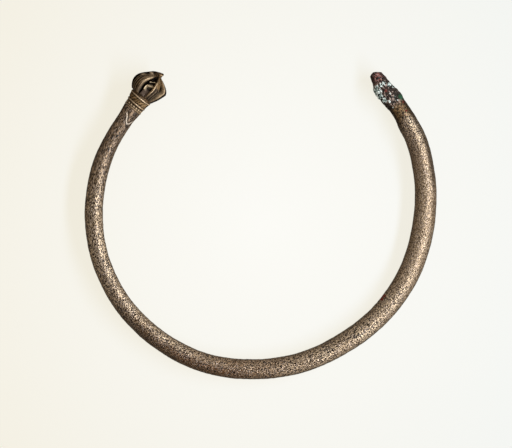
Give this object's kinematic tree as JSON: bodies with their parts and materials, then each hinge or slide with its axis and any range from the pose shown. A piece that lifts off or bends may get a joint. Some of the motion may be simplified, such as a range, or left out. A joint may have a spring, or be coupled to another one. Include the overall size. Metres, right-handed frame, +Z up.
{
  "type": "bangle",
  "caption": "Open bangle of thick round bronze rod bent to a hoop, with a ringed collar and ribbed cast bud on one end and a bare, corroded, tapered nose on the other.",
  "frame": {"origin": "on the ground, under the middle of the bangle's box", "axes": "+X to the right across the hoop, +Y from the hoop's closed side towards the gap between its ends, +Z up off the ground that it lies on; the hoop's own axis leans 1.3 degrees off +Z"},
  "size_m": [0.0722, 0.0632, 0.0073],
  "materials": {
    "hoop_bronze": "old cast bronze with a grey-brown patina, finely pitted all over, with green and dark red corrosion on the bare end",
    "finial_bronze": "old cast bronze, worn golden on the ribs and rings and dark brown in the hollows"
  },
  "bodies": {
    "root": {"hoop": "hoop_bronze", "finial": "finial_bronze"}
  },
  "joints": []
}
